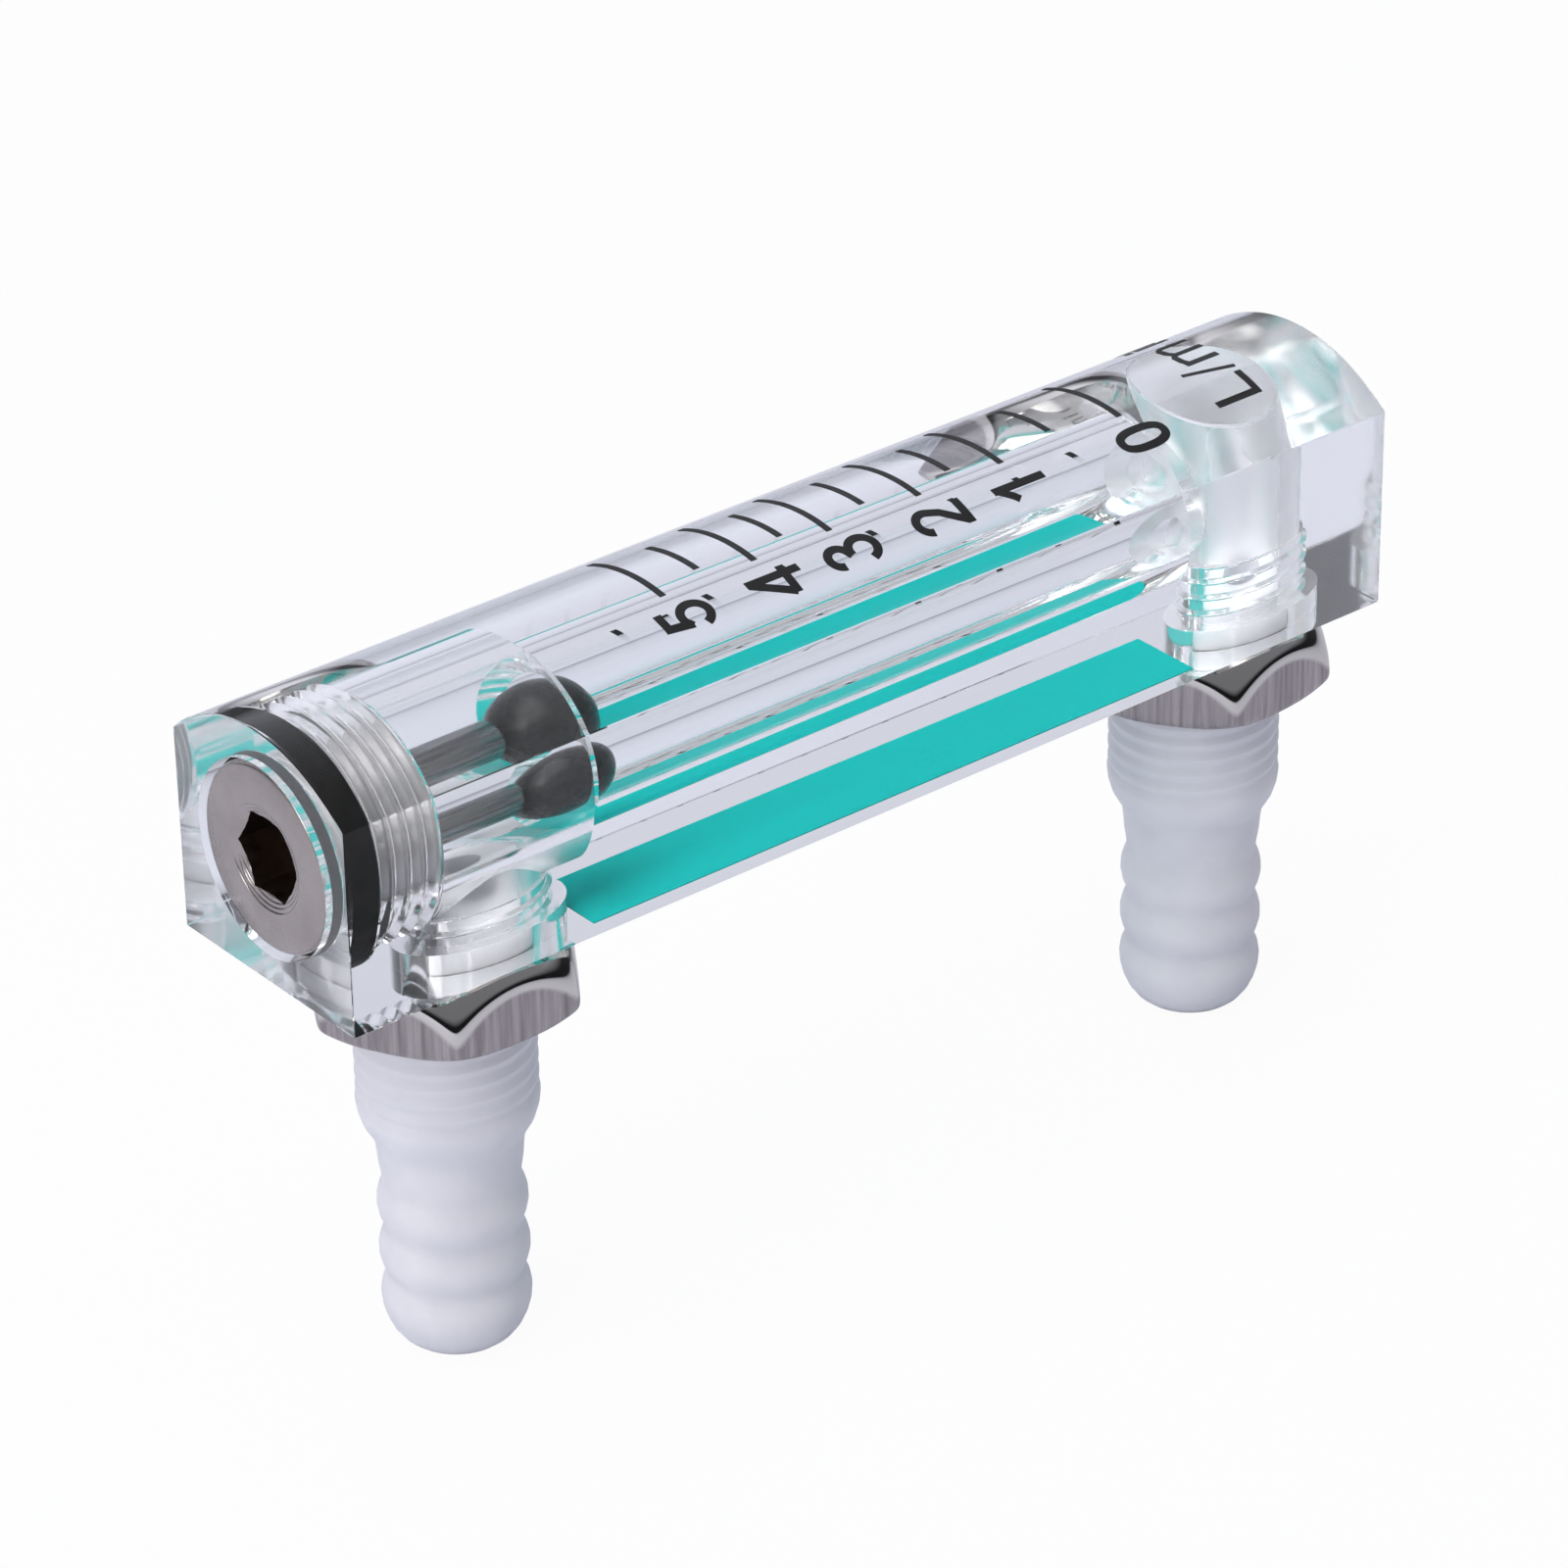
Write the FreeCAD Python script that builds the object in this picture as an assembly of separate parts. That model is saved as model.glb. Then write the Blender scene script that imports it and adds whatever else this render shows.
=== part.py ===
import FreeCAD, Part
from FreeCAD import Vector
import math
import os

# Panel-mounted ball flowmeter for oxygen: a clear D-section bar with a tapered
# float tube, a screw plug at one end and two barbed stems with lock nuts behind.
# Millimetres. The origin is the middle of the back face between the two stems.
# X runs from the plug end to the zero end, Z comes out of the scale front and
# the numbers' side is -Y.

# Lock nuts
nut_af = 14.0
nut_thickness = 5.0
nut_gap = 0.05
nut_seat_rim = 0.65
nut_seat_chamfer_deg = 58.0
nut_end_margin = 0.05
nut_end_chamfer_deg = 30.0
outlet_nut_turn = 59.0
inlet_nut_turn = 5.0

# Clear block, as wide as the nuts with a margin on each side
nut_margin = 0.5
block_width = nut_af + 2 * nut_margin
block_depth = 15.0
side_height = 12.0
stem_spacing = 54.2
plug_end_offset = 11.0
zero_end_offset = 7.3
bore_height = 7.3

# Screw plug in the end of the main bore
plug_thread_d = 10.0
plug_thread_length = 4.45
plug_recess = 0.15
plug_head_thickness = 1.1
plug_head_gap = 0.25
plug_neck_d = 8.0
plug_chamfer = 0.3
ring_section = 1.6
ring_sides = 8
socket_af = 4.5
socket_depth = 2.6
socket_turn = 30.0
socket_countersink_d = 6.4
socket_countersink_depth = 0.35

# Stop rod held in the plug
rod_d = 3.0
rod_seat_depth = 2.3
rod_edge = 0.2

# Chamber between the plug and the float tube
chamber_d = 9.4
chamber_length = 9.7
chamber_point_deg = 118.0

# Float and its tapered tube
ball_d = 6.0
tube_wide_d = 6.6
ball_gap = 0.05
ball_beyond_step = 0.65
port_d = 3.2
port_length = 1.4

# Stem holes in the back of the block
stem_thread_d = 10.0
spigot_d = 9.0
spigot_reach = 2.4
counterbore_d = 10.8
counterbore_depth = 1.3
outlet_tap_depth = 2.6
inlet_tap_depth = 5.0
drill_d = 8.0
outlet_drill_depth = 5.0
inlet_drill_depth = 12.0

# Barbed stems
stem_length = 11.6
shoulder_length = 2.0
neck_top_d = 8.1
neck_low_d = 7.5
neck_length = 2.8
ridge_d = 8.2
ridge_pitch = 3.0
ridge_count = 3
ridge_flat_share = 0.34
tip_d = 5.6
tip_length = 2.7
tip_steps = 2
shoulder_steps = 1
stem_bore_d = 4.0

# Printed scale and painted band
print_thickness = 0.1
tick_width = 0.4
long_tick_from = -11.0
long_tick_to = 23.0
short_tick_from = -5.5
short_tick_to = 17.0
tick_from_zero = (0.0, 8.7, 14.6, 20.9, 26.1, 32.3)
stripe_end_gap = 6.1
stripe_side_gap = 3.0
stripe_shift = -0.6

# How far a cutting shape starts outside the face it opens
cut_over = 1.0

# Places that follow from the sizes
outlet_x = -stem_spacing / 2
inlet_x = stem_spacing / 2
plug_end_x = outlet_x - plug_end_offset
zero_end_x = inlet_x + zero_end_offset
arch_rise = block_depth - side_height
arch_r = ((block_width / 2) ** 2 + arch_rise ** 2) / (2 * arch_rise)
arch_z = block_depth - arch_r
ring_seat_d = plug_neck_d + 2 * ring_section
head_d = ring_seat_d - 2 * plug_head_gap
ring_seat_depth = plug_recess + plug_head_thickness + ring_section
plug_inner_x = plug_end_x + ring_seat_depth + plug_thread_length
step_x = plug_inner_x + chamber_length
tube_end_x = inlet_x - drill_d / 2 - port_length
ball_r = ball_d / 2
ball_zero_x = tube_end_x - math.sqrt(ball_r ** 2 - (port_d / 2) ** 2) - ball_gap
ball_rest_x = step_x + ball_beyond_step
tube_wide_r = tube_wide_d / 2
tube_zero_r = ball_r + ball_gap
taper = (tube_wide_r - tube_zero_r) / (ball_zero_x - step_x)
rod_end_x = ball_rest_x - ball_r - ball_gap


def tube_radius(x):
    """Radius of the tapered tube at one place along it."""
    return tube_wide_r - taper * (x - step_x)


def ball_centre_z(x):
    """Height of the ball's centre when it lies on the wall of the tube."""
    return bore_height - (tube_radius(x) - tube_zero_r)


def turned(points, about_x):
    """A solid of revolution from (along, radius) points, round X or round Z."""
    corners = []
    for along, radius in points:
        place = Vector(along, radius, 0) if about_x else Vector(radius, 0, along)
        corners.append(place)
    corners.append(corners[0])
    face = Part.Face(Part.makePolygon(corners))
    axis = Vector(1, 0, 0) if about_x else Vector(0, 0, 1)
    return face.revolve(Vector(0, 0, 0), axis, 360)


def hexagon(across_flats, turn):
    """Corner points of a regular hexagon round the origin in the XY plane."""
    corner_r = across_flats / math.sqrt(3)
    corners = []
    for step in range(7):
        angle = math.radians(60 * step + turn)
        corners.append(Vector(corner_r * math.cos(angle), corner_r * math.sin(angle), 0))
    return corners


def arch_point(angle_deg, radius):
    """Point on the round front, with its angle counted from the crown to +Y."""
    angle = math.radians(angle_deg)
    return Vector(0, radius * math.sin(angle), arch_z + radius * math.cos(angle))


def block_section():
    """The D section at the plug end."""
    half = block_width / 2
    left_foot = Vector(plug_end_x, -half, 0)
    right_foot = Vector(plug_end_x, half, 0)
    left_top = Vector(plug_end_x, -half, side_height)
    right_top = Vector(plug_end_x, half, side_height)
    crown = Vector(plug_end_x, 0, block_depth)
    edges = [
        Part.makeLine(left_foot, right_foot),
        Part.makeLine(right_foot, right_top),
        Part.Arc(right_top, crown, left_top).toShape(),
        Part.makeLine(left_top, left_foot),
    ]
    return Part.Face(Part.Wire(edges))


def float_tube():
    """The tapered tube as a spline surface, which meshes in long narrow facets."""
    length = tube_end_x - step_x
    start = Vector(step_x, 0, bore_height)
    cone = Part.makeCone(tube_wide_r, tube_radius(tube_end_x), length, start, Vector(1, 0, 0))
    return cone.toNurbs()


def main_bore():
    """Ring seat, plug thread, chamber and port in one turning."""
    chamber_r = chamber_d / 2
    point_length = (chamber_r - port_d / 2) / math.tan(math.radians(chamber_point_deg / 2))
    profile = [
        (plug_end_x - cut_over, 0),
        (plug_end_x - cut_over, ring_seat_d / 2),
        (plug_end_x + ring_seat_depth, ring_seat_d / 2),
        (plug_end_x + ring_seat_depth, plug_thread_d / 2),
        (plug_inner_x, plug_thread_d / 2),
        (plug_inner_x, chamber_r),
        (step_x, chamber_r),
        (step_x + point_length, port_d / 2),
        (inlet_x, port_d / 2),
        (inlet_x, 0),
    ]
    bore = turned(profile, True)
    bore.translate(Vector(0, 0, bore_height))
    return bore


def stem_hole(tap_depth, drill_depth):
    """Counterbore, tapped length and drilled end of one stem's hole."""
    profile = [
        (-cut_over, 0),
        (-cut_over, counterbore_d / 2),
        (counterbore_depth, counterbore_d / 2),
        (counterbore_depth, spigot_d / 2),
        (tap_depth, spigot_d / 2),
        (tap_depth, drill_d / 2),
        (drill_depth, drill_d / 2),
        (drill_depth, 0),
    ]
    return turned(profile, False)


def stripe_solid():
    """The painted band, let into the back face by its own thickness."""
    stripe_length = stem_spacing - 2 * stripe_end_gap
    stripe_width = block_width - 2 * stripe_side_gap
    corner = Vector(-stripe_length / 2, stripe_shift - stripe_width / 2, 0)
    return Part.makeBox(stripe_length, stripe_width, print_thickness, corner)


def make_block():
    """Clear bar with every bore and the shallow recess of the band."""
    bar = block_section().extrude(Vector(zero_end_x - plug_end_x, 0, 0))
    outlet = stem_hole(outlet_tap_depth, outlet_drill_depth)
    outlet.translate(Vector(outlet_x, 0, 0))
    inlet = stem_hole(inlet_tap_depth, inlet_drill_depth)
    inlet.translate(Vector(inlet_x, 0, 0))
    return bar.cut([main_bore(), float_tube(), outlet, inlet, stripe_solid()])


def make_plug():
    """Screw plug: head, ring groove, shank, hexagon socket and rod hole."""
    face_x = plug_end_x + plug_recess
    neck_x = face_x + plug_head_thickness
    shank_x = plug_end_x + ring_seat_depth
    head_r = head_d / 2
    shank_r = plug_thread_d / 2
    profile = [
        (face_x, 0),
        (face_x, head_r - plug_chamfer),
        (face_x + plug_chamfer, head_r),
        (neck_x, head_r),
        (neck_x, plug_neck_d / 2),
        (shank_x, plug_neck_d / 2),
        (shank_x, shank_r),
        (plug_inner_x - plug_chamfer, shank_r),
        (plug_inner_x, shank_r - plug_chamfer),
        (plug_inner_x, 0),
    ]
    plug = turned(profile, True)
    socket = Part.Face(Part.makePolygon(hexagon(socket_af, socket_turn)))
    socket = socket.extrude(Vector(0, 0, socket_depth))
    socket.rotate(Vector(0, 0, 0), Vector(0, 1, 0), 90)
    socket.translate(Vector(face_x, 0, 0))
    countersink = turned(
        [
            (face_x, 0),
            (face_x, socket_countersink_d / 2),
            (face_x + socket_countersink_depth, socket_af / 2),
            (face_x + socket_countersink_depth, 0),
        ], True)
    rod_hole = Part.makeCylinder(
        rod_d / 2, rod_seat_depth, Vector(plug_inner_x - rod_seat_depth, 0, 0), Vector(1, 0, 0))
    plug = plug.cut(socket.fuse([countersink, rod_hole]))
    plug.translate(Vector(0, 0, bore_height))
    return plug


def make_rod():
    """Stop rod from its hole in the plug to just short of the ball at rest."""
    start_x = plug_inner_x - rod_seat_depth
    profile = [
        (start_x, 0),
        (start_x, rod_d / 2),
        (rod_end_x - rod_edge, rod_d / 2),
        (rod_end_x, rod_d / 2 - rod_edge),
        (rod_end_x, 0),
    ]
    rod = turned(profile, True)
    rod.translate(Vector(0, 0, bore_height))
    return rod


def make_ring():
    """Rubber ring, squeezed between the plug's head, its neck and the ring seat."""
    centre_x = plug_end_x + ring_seat_depth - ring_section / 2
    ring_r = plug_neck_d / 2 + ring_section / 2
    corner_r = ring_section / 2 / math.cos(math.pi / ring_sides)
    section = []
    for side in range(ring_sides):
        angle = 2 * math.pi * (side + 0.5) / ring_sides
        section.append((centre_x + corner_r * math.cos(angle), ring_r + corner_r * math.sin(angle)))
    ring = turned(section, True)
    ring.translate(Vector(0, 0, bore_height))
    return ring


def make_ball():
    """Float ball at rest on the tube's wall, beside the end of the rod."""
    return Part.makeSphere(ball_r, Vector(ball_rest_x, 0, ball_centre_z(ball_rest_x)))


def rounded(start, end, steps):
    """Corners of a quarter ellipse that leaves start straight down and meets end level."""
    corners = []
    for step in range(steps + 1):
        angle = math.pi / 2 * step / steps
        radius = end.x + (start.x - end.x) * math.cos(angle)
        corners.append(Vector(radius, 0, start.z + (end.z - start.z) * math.sin(angle)))
    return corners


def hose_end(neck):
    """Outline from the neck over the rounded ridges to the edge of the tip."""
    crest_r = ridge_d / 2
    valley_r = neck_low_d / 2
    half_flat = ridge_pitch * ridge_flat_share / 2
    valley_z = neck.z - neck_length
    outline = [neck, Vector(valley_r, 0, valley_z)]
    for ridge in range(ridge_count):
        crest_z = valley_z - ridge_pitch / 2
        outline.append(Vector(crest_r, 0, crest_z + half_flat))
        if ridge < ridge_count - 1:
            valley_z = crest_z - ridge_pitch / 2
            outline.append(Vector(crest_r, 0, crest_z - half_flat))
            outline.append(Vector(valley_r, 0, valley_z))
    crest = Vector(crest_r, 0, crest_z)
    tip = Vector(tip_d / 2, 0, crest_z - tip_length)
    return outline + rounded(crest, tip, tip_steps)


def make_stem(x):
    """Barbed stem: spigot in the block, threaded length, shoulder and ridges."""
    bore_r = stem_bore_d / 2
    stem_r = stem_thread_d / 2
    thread_end = Vector(stem_r, 0, -stem_length)
    neck = Vector(neck_top_d / 2, 0, -stem_length - shoulder_length)
    outline = [
        Vector(bore_r, 0, spigot_reach),
        Vector(spigot_d / 2, 0, spigot_reach),
        Vector(spigot_d / 2, 0, counterbore_depth),
        Vector(stem_r, 0, counterbore_depth),
    ]
    outline += rounded(thread_end, neck, shoulder_steps)[:-1] + hose_end(neck)
    outline.append(Vector(bore_r, 0, outline[-1].z))
    outline.append(outline[0])
    face = Part.Face(Part.makePolygon(outline))
    stem = face.revolve(Vector(0, 0, 0), Vector(0, 0, 1), 360)
    stem.translate(Vector(x, 0, 0))
    return stem


def make_nut(x, turn):
    """Hexagon nut with a steep cone towards the block and its free corners chamfered."""
    prism = Part.Face(Part.makePolygon(hexagon(nut_af, turn)))
    prism = prism.extrude(Vector(0, 0, -nut_thickness))
    bore_r = stem_thread_d / 2 + nut_gap
    seat_r = bore_r + nut_seat_rim
    end_r = nut_af / 2 + nut_end_margin
    outer_r = nut_af / math.sqrt(3) + nut_end_margin
    seat_drop = (outer_r - seat_r) * math.tan(math.radians(nut_seat_chamfer_deg))
    end_drop = (outer_r - end_r) * math.tan(math.radians(nut_end_chamfer_deg))
    profile = [
        (0, bore_r),
        (0, seat_r),
        (-seat_drop, outer_r),
        (end_drop - nut_thickness, outer_r),
        (-nut_thickness, end_r),
        (-nut_thickness, bore_r),
    ]
    nut = prism.common(turned(profile, False))
    nut.translate(Vector(x, 0, 0))
    return nut


def tick(x, start_deg, end_deg):
    """One printed line across the round front."""
    mid_deg = (start_deg + end_deg) / 2
    low_r = arch_r
    high_r = arch_r + print_thickness
    edges = [
        Part.Arc(arch_point(start_deg, low_r), arch_point(mid_deg, low_r),
                 arch_point(end_deg, low_r)).toShape(),
        Part.makeLine(arch_point(end_deg, low_r), arch_point(end_deg, high_r)),
        Part.Arc(arch_point(end_deg, high_r), arch_point(mid_deg, high_r),
                 arch_point(start_deg, high_r)).toShape(),
        Part.makeLine(arch_point(start_deg, high_r), arch_point(start_deg, low_r)),
    ]
    mark = Part.Face(Part.Wire(edges)).extrude(Vector(tick_width, 0, 0))
    mark.translate(Vector(x - tick_width / 2, 0, 0))
    return mark


def make_marks():
    """Long lines at the whole numbers and short ones halfway between."""
    marks = []
    for place in tick_from_zero:
        marks.append(tick(ball_zero_x - place, long_tick_from, long_tick_to))
    for low, high in zip(tick_from_zero, tick_from_zero[1:]):
        middle = ball_zero_x - (low + high) / 2
        marks.append(tick(middle, short_tick_from, short_tick_to))
    return Part.makeCompound(marks)


nodes = {
    "body_block": make_block(),
    "end_plug": make_plug(),
    "float_stop_rod": make_rod(),
    "plug_o_ring": make_ring(),
    "float_ball": make_ball(),
    "hose_barb_outlet": make_stem(outlet_x),
    "hose_barb_inlet": make_stem(inlet_x),
    "lock_nut_outlet": make_nut(outlet_x, outlet_nut_turn),
    "lock_nut_inlet": make_nut(inlet_x, inlet_nut_turn),
    "back_stripe": stripe_solid(),
    "scale_marks": make_marks(),
}

os.makedirs("parts", exist_ok=True)
for name, shape in nodes.items():
    shape.exportStep("parts/" + name + ".step")
    box = shape.BoundBox
    print(name, "valid", shape.isValid(), "solids", len(shape.Solids), "volume", round(shape.Volume, 3),
          "x", round(box.XMin, 3), round(box.XMax, 3), "z", round(box.ZMin, 3), round(box.ZMax, 3))

run_x = ball_zero_x - ball_rest_x
run_z = ball_centre_z(ball_zero_x) - ball_centre_z(ball_rest_x)
run = math.hypot(run_x, run_z)
print("ball travel", run, "along", run_x / run, 0, run_z / run)
print("free stem thread below the nut", stem_length - nut_thickness)
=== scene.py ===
"""Looks of a panel-mounted ball flowmeter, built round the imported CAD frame."""
import bmesh
import bpy
import math
from mathutils import Matrix, Vector


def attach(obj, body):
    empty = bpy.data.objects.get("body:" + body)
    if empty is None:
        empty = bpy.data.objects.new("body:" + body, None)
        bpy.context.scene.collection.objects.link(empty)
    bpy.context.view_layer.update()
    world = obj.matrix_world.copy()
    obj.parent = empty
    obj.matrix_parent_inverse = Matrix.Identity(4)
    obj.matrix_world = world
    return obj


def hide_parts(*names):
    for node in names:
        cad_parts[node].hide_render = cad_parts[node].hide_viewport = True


MM = 0.001

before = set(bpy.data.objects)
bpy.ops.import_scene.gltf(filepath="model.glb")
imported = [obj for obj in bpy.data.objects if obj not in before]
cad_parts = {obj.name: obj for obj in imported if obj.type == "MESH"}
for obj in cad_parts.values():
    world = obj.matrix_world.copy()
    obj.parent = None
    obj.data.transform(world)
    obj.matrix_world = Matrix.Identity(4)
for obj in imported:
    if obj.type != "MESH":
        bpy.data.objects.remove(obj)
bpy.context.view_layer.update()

# Clear block, in millimetres
BLOCK_X = (-38.1, 34.4)
BLOCK_EDGE = 0.05
HALF_WIDTH = 7.5
SIDE_HEIGHT = 12.0
ARCH_R = 10.875
ARCH_Z = SIDE_HEIGHT - math.sqrt(ARCH_R ** 2 - HALF_WIDTH ** 2)
ARCH_STEPS = 96
BORE_Z = 7.3
RUN_OUT_Y = 5.9
RUN_OUT_TURN = 6.0
RUN_OUT_STEPS = 16
OUTLET_X = -27.1
INLET_X = 27.1

# Main bore
RING_SEAT_R = 5.6
RING_SEAT_END_X = -35.25
THREAD_START_X = RING_SEAT_END_X - 0.3
THREAD_PITCH = 1.0
BORE_CREST_R = 4.52
BORE_ROOT_R = 5.04
PLUG_INNER_X = -30.8
CHAMBER_R = 4.7
STEP_X = -21.1
STEP_LENGTH = 0.84
TUBE_WIDE_R = 3.3
TUBE_TAPER = 0.006217
TUBE_END_X = 21.7
TUBE_END_CONE = 0.5
PORT_R = 1.6
PORT_EDGE = 0.1

# Stem holes, each with its place, the top of its thread and the top of its drilled hole
COUNTERBORE_R = 5.4
COUNTERBORE_TOP = 1.3
TAP_START = COUNTERBORE_TOP - 0.4
TAP_ROOT_R = 4.55
TAP_CREST_R = 4.25
DRILL_R = 4.0
DRILL_EDGE = 0.15
STEM_HOLES = ((OUTLET_X, 2.9, 5.0), (INLET_X, 5.0, 12.0))

# Cutters: how far they run past an open face and into an earlier cut, and how near a face counts as cut
PAST = 1.0
INTO = 0.1
NEAR = 0.05

# Plug; its rounded edge has points by their distance behind the face and inside the rim
PLUG_FACE_X = -37.95
PLUG_ROUND = 0.3
PLUG_ROUND_POINTS = ((0.0, PLUG_ROUND), (0.05, 0.17), (0.17, 0.05), (PLUG_ROUND, 0.0))
PLUG_HEAD_R = 5.35
PLUG_HEAD_END_X = PLUG_FACE_X + 1.1
PLUG_HEAD_EDGE = 0.14
PLUG_NECK_R = 4.0
PLUG_NECK_END_X = RING_SEAT_END_X + 0.3
PLUG_ROOT_R = 4.5
PLUG_CREST_R = 4.97
PLUG_THREAD_EDGE = 0.5
PLUG_THREAD_END_R = 4.6
PLUG_THREAD_CLEAR_R = 5.2
SOCKET_AF = 4.5
SOCKET_CORNER_R = SOCKET_AF / math.sqrt(3)
SOCKET_DEPTH = 2.6
SOCKET_TURN = 30.0
COUNTERSINK_R = 3.2
COUNTERSINK_DEPTH = 0.35
COUNTERSINK_STEPS = 4
COUNTERSINK_END_R = SOCKET_AF / 2 + 0.02
COUNTERSINK_GROOVE = (0.03, 0.16)

# Ring and rod
RING_R = 4.8
RING_SECTION_R = 0.8
RING_X = -36.05
RING_SQUEEZE = 12.0
RING_BITE = 0.015
RING_SPREAD = 0.35
RING_STEPS = 40
ROD_R = 1.5
ROD_START_X = -33.1
ROD_END_X = -23.5
ROD_EDGE = 0.2
ROD_EDGE_MIDDLE = 0.06

# Ball at rest
BALL_R = 3.0
BALL_X = -20.45
BALL_Z = 7.054
BALL_ROWS = 64

# Stems, with the free end's outline in (z, radius)
STEM_BORE_R = 2.0
SPIGOT_R = 4.2
SPIGOT_TOP = 2.4
SPIGOT_EDGE = 0.15
FLANGE_R = 5.3
FLANGE_TOP = COUNTERBORE_TOP - 0.01
FLANGE_EDGE = 0.05
STEM_CORE_R = 4.7
STEM_CORE_END = -10.6
STEM_CREST_R = 4.96
STEM_ROOT_R = 4.8
STEM_THREAD_Z = (-11.4, -0.02)
THREAD_HOLLOW_R = 3.5
THREAD_HOLLOW_Z = (0.5, -12.5)
STEM_END = -26.6
SHOULDER = ((-11.2, 5.0), (-11.8, 4.93), (-12.5, 4.72), (-13.1, 4.38), (-13.6, 4.12))
NECK = ((-14.3, 4.02), (-15.2, 3.95), (-16.0, 3.82), (-16.45, 3.78))
FIRST_RIDGE = ((-16.8, 3.84), (-17.2, 4.0), (-17.6, 4.1), (-18.1, 4.12), (-18.6, 4.02), (-19.0, 3.86))
SECOND_RIDGE = ((-19.4, 3.77), (-19.8, 3.85), (-20.3, 4.03), (-20.7, 4.12), (-21.2, 4.12), (-21.7, 4.0),
                (-22.1, 3.84))
THIRD_RIDGE = ((-22.4, 3.78), (-22.8, 3.86), (-23.3, 4.05), (-23.8, 4.13), (-24.4, 4.08))
TIP = ((-25.0, 3.92), (-25.6, 3.66), (-26.1, 3.3), (-26.4, 2.95), (-26.55, 2.6), (STEM_END, 2.3))

# Nuts
NUT_AF = 14.0
NUT_THICKNESS = 5.0
NUT_BORE_R = 5.05
NUT_BORE_EDGE = 0.35
NUT_SEAT_R = 5.7
NUT_DOME_R = 7.0
NUT_DOME_TILT = 51.2
NUT_END_R = 7.05
NUT_END_SLOPE = 30.0
NUT_CRISPNESS = 45.0
NUT_SEAT_GAP = 0.03
OUTLET_NUT_DEG = 59.0
INLET_NUT_DEG = 5.0
NUT_SIDE_STEPS = 28
NUT_ROWS = 72

# Painted band and printed scale
STRIPE_X = (-21.7, 21.0)
STRIPE_Y = (-5.35, 3.75)
STRIPE_Z = (-0.01, 0.04)
STRIPE_EDGE = 0.01
PRINT_IN = 0.02
PRINT_OUT = 0.03
ZERO_X = 19.11
TICK_PLACES = (0.0, 8.7, 14.6, 20.9, 26.1, 32.3)
TICK_WIDTH = 0.4
TICK_STEPS = 28
LONG_TICK = (-11.0, 23.0)
SHORT_TICK = (-5.5, 17.0)
DIGIT_PLACES = (("5", -13.2), ("4", -7.0), ("3", -1.7), ("2", 4.5), ("1", 10.0), ("0", 19.0))
DIGIT_DEG = -21.7
DIGIT_STROKE = 0.52
UNIT_X = 26.1
UNIT_DEG = -21.0
BEND_START = -4.0
BEND_STEP = 0.25
BEND_CUTS = 64

# Floor and room; each direction points from the object to what is seen there
FLOOR_Z = STEM_END - 0.02
FLOOR_HALF = 3000.0
FLOOR_WHITE = 0.95
WALL_TOWARD = (0.60, 0.74, 0.30)
WALL_LEVELS = ((0.0, 0.12), (0.6, 0.14), (0.75, 0.22), (0.9, 0.6), (1.0, 0.72))
WALL_TINT = (0.92, 0.94, 1.05)
WINDOW_TOWARD = (0.56, -0.70, 0.44)
WINDOW_EDGE = (0.55, 0.9)
WINDOW_LEVEL = 0.36
SKYLINE_EDGE = (0.16, 0.34)
SKYLINE_LEVELS = (0.1, 1.9)

# Camera, its three directions and its focal length in pixels
EYE = (-197.14, -239.75, 174.74)
RIGHT = (0.77275, -0.63455, -0.01436)
UP = (0.32418, 0.37513, 0.86844)
AHEAD = (0.54568, 0.67575, -0.49558)
SENSOR = 36.0
PICTURE_PIXELS = 1600
FOCAL_PIXELS = 6590.7


# Meshes

def new_object(name, verts, faces):
    """An object from corner points in millimetres."""
    mesh = bpy.data.meshes.new(name)
    mesh.from_pydata([Vector(v) * MM for v in verts], [], faces)
    mesh.update()
    piece = bpy.data.objects.new(name, mesh)
    bpy.context.scene.collection.objects.link(piece)
    return piece


def opened(piece):
    """The piece's mesh, open for editing."""
    bm = bmesh.new()
    bm.from_mesh(piece.data)
    return bm


def put_back(bm, piece):
    """Turns every face outwards and puts the edited mesh back."""
    bmesh.ops.recalc_face_normals(bm, faces=bm.faces)
    bm.to_mesh(piece.data)
    bm.free()


def clean(piece, distance=2e-4, close=False):
    """Joins doubled corners and, where asked, closes the open ends."""
    bm = opened(piece)
    bmesh.ops.remove_doubles(bm, verts=bm.verts, dist=distance * MM)
    bmesh.ops.dissolve_degenerate(bm, edges=bm.edges, dist=distance * MM)
    if close:
        open_edges = [edge for edge in bm.edges if edge.is_boundary]
        bmesh.ops.holes_fill(bm, edges=open_edges, sides=0)
    put_back(bm, piece)
    return piece


def shade(piece, sharp_deg=30.0):
    """Smooth shading with sharp edges over an angle."""
    for polygon in piece.data.polygons:
        polygon.use_smooth = True
    piece.data.set_sharp_from_angle(angle=math.radians(sharp_deg))


def apply_modifiers(piece):
    """Bakes the piece's modifiers into its mesh."""
    bpy.context.view_layer.update()
    depsgraph = bpy.context.evaluated_depsgraph_get()
    mesh = bpy.data.meshes.new_from_object(piece.evaluated_get(depsgraph))
    piece.modifiers.clear()
    piece.data = mesh


def boolean(piece, other, operation):
    """Cuts, joins or intersects the piece with another object, and removes that object."""
    modifier = piece.modifiers.new("boolean", "BOOLEAN")
    modifier.object = other
    modifier.operation = operation
    modifier.solver = "EXACT"
    apply_modifiers(piece)
    bpy.data.objects.remove(other)


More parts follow.
